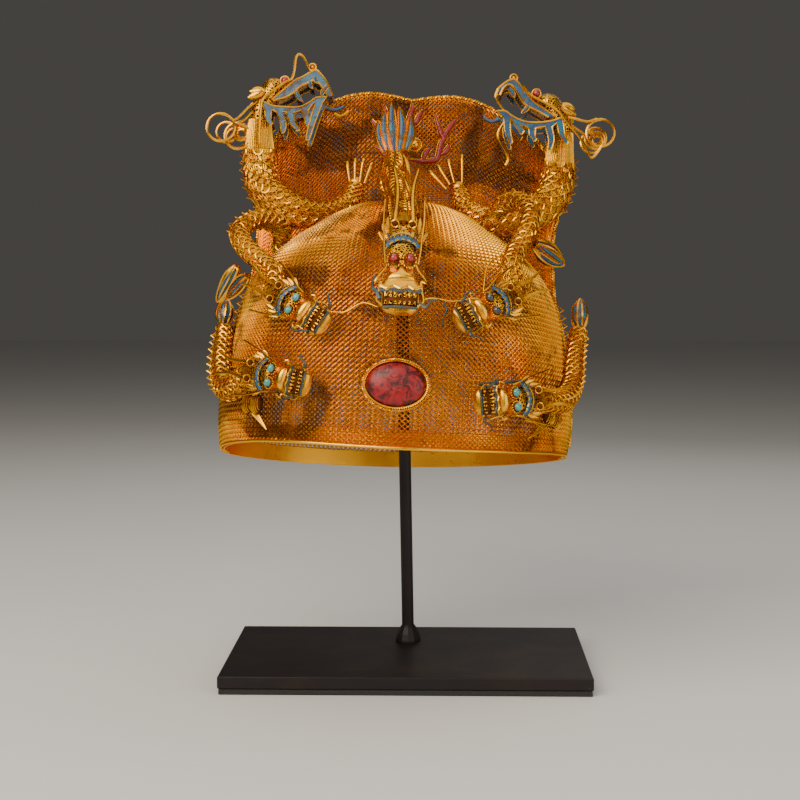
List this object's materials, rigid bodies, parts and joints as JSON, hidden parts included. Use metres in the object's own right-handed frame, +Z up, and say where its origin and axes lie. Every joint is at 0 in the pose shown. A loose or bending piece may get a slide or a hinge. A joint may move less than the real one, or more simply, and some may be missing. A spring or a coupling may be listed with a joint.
{
  "type": "opera headdress on display stand",
  "caption": "Woven gold-wire crown with a domed front, a tall two-lobed back, dragons in the round and an oval red stone, held by a plain black steel stand.",
  "frame": {"origin": "middle of the underside of the stand's pad", "axes": "+Z up; the front of the crown, with the oval stone and the dragons' heads, faces -Y; +X is to the right as it is seen from the front"},
  "size_m": [0.2513, 0.2283, 0.3589],
  "materials": {
    "gold": "polished gold sheet and wire",
    "woven_gold": "open weave of fine gold wire",
    "blue_enamel": "worn blue enamel edged with gold wire",
    "red_enamel": "glossy red enamel",
    "red_stone": "polished dark red cabochon",
    "turquoise": "polished turquoise bead",
    "black_steel": "blackened satin steel, a little scuffed",
    "pad_rubber": "thin black pad"
  },
  "bodies": {
    "root": {"back_hill": "woven_gold", "centre_body": "gold", "centre_eye_left": "red_enamel", "centre_eye_right": "red_enamel", "centre_head": "gold", "centre_tail": "blue_enamel", "display_stand": "black_steel", "flame_left": "red_enamel", "flame_right": "red_enamel", "flame_top": "red_enamel", "front_dome": "woven_gold", "front_stone": "red_stone", "hill_edge": "gold", "lower_left_body": "gold", "lower_left_eye_left": "turquoise", "lower_left_eye_right": "turquoise", "lower_left_head": "gold", "lower_left_tail": "blue_enamel", "lower_right_body": "gold", "lower_right_eye_left": "turquoise", "lower_right_eye_right": "turquoise", "lower_right_head": "gold", "lower_right_tail": "blue_enamel", "pearl": "gold", "rear_left_beard": "blue_enamel", "rear_left_body": "gold", "rear_left_eye": "red_enamel", "rear_left_head": "gold", "rear_left_mane": "gold", "rear_right_beard": "blue_enamel", "rear_right_body": "gold", "rear_right_eye": "red_enamel", "rear_right_head": "gold", "rear_right_mane": "gold", "rim_band": "gold", "seam_wire_left": "gold", "seam_wire_right": "gold", "stand_pad": "pad_rubber", "stone_bezel": "gold", "upper_left_body": "gold", "upper_left_eye_left": "turquoise", "upper_left_eye_right": "turquoise", "upper_left_head": "gold", "upper_left_tail": "blue_enamel", "upper_right_body": "gold", "upper_right_eye_left": "turquoise", "upper_right_eye_right": "turquoise", "upper_right_head": "gold", "upper_right_tail": "blue_enamel"}
  },
  "joints": []
}
